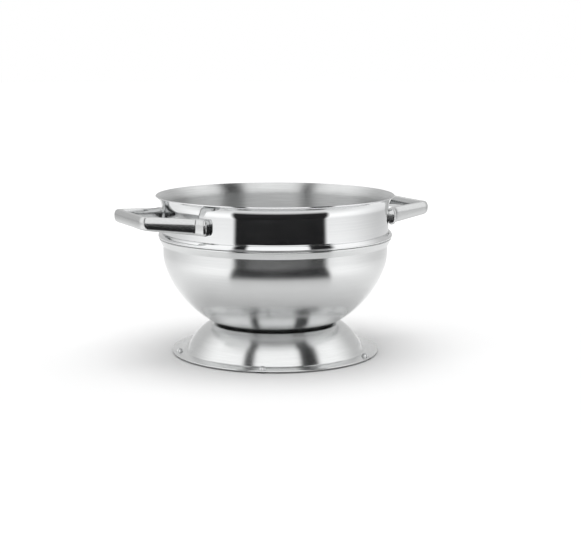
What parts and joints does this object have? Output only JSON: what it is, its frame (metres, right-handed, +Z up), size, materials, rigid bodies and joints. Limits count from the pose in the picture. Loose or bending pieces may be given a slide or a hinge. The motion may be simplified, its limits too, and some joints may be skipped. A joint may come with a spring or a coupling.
{
  "type": "food mill",
  "caption": "Steel table-top food mill: a two-handled hopper with a low crank, sloped blade and pierced disc nests in a footed catch bowl.",
  "frame": {"origin": "on the table under the centre of the stand", "axes": "+Z up, the two handles along -X and +X"},
  "size_m": [0.316, 0.2396, 0.1597],
  "materials": {
    "hopper_steel": "mirror polished outside, satin inside",
    "bowl_steel": "satin",
    "stand_steel": "fine brushed",
    "handle_steel": "polished",
    "works_steel": "satin",
    "bright_steel": "polished",
    "spring_steel": "drawn wire",
    "bush_plastic": "natural acetal",
    "knob_plastic": "moulded, smooth",
    "foot_rubber": "matt"
  },
  "bodies": {
    "base": {"stand_ring": "stand_steel", "catch_bowl": "bowl_steel", "foot_stud_1": "bright_steel", "foot_stud_2": "bright_steel", "foot_stud_3": "bright_steel", "foot_stud_4": "bright_steel", "foot_stud_5": "bright_steel", "foot_pad_1": "foot_rubber", "foot_pad_2": "foot_rubber", "foot_pad_3": "foot_rubber", "foot_pad_4": "foot_rubber", "foot_pad_5": "foot_rubber"},
    "hopper": {"hopper_pan": "hopper_steel", "handle_left": "handle_steel", "handle_right": "handle_steel", "clip_left": "works_steel", "clip_right": "works_steel", "milling_disc": "works_steel", "disc_button": "works_steel"},
    "bridge": {"crossbar": "works_steel", "crossbar_bush": "bush_plastic"},
    "crank": {"crank_shaft": "works_steel", "crank_arm": "works_steel", "crank_nut": "bright_steel", "knob_pin": "bright_steel"},
    "knob": {"crank_knob": "knob_plastic"},
    "blade": {"mill_blade": "works_steel", "blade_hub": "works_steel", "spring_washer": "works_steel", "blade_spring": "spring_steel"}
  },
  "joints": [
    {"name": "hopper_lift", "type": "slide", "parent": "base", "child": "hopper", "axis": [0, 0, 1], "range_m": [0, 0.12]},
    {"name": "crossbar_twist", "type": "hinge", "parent": "hopper", "child": "bridge", "pos_m": [0, 0, 0.1155], "axis": [0, 0, 1], "range_deg": [0, 30]},
    {"name": "crank_turn", "type": "hinge", "parent": "bridge", "child": "crank", "pos_m": [0, 0, 0.1155], "axis": [0, 0, 1], "continuous": true},
    {"name": "blade_float", "type": "slide", "parent": "crank", "child": "blade", "axis": [0, 0, 1], "range_m": [0, 0.004], "stiffness_N_per_m": 1500, "springref_m": -0.004, "deforming": ["blade_spring"]},
    {"name": "knob_spin", "type": "hinge", "parent": "crank", "child": "knob", "pos_m": [0, -0.066, 0.134], "axis": [0, 0, 1], "continuous": true}
  ]
}
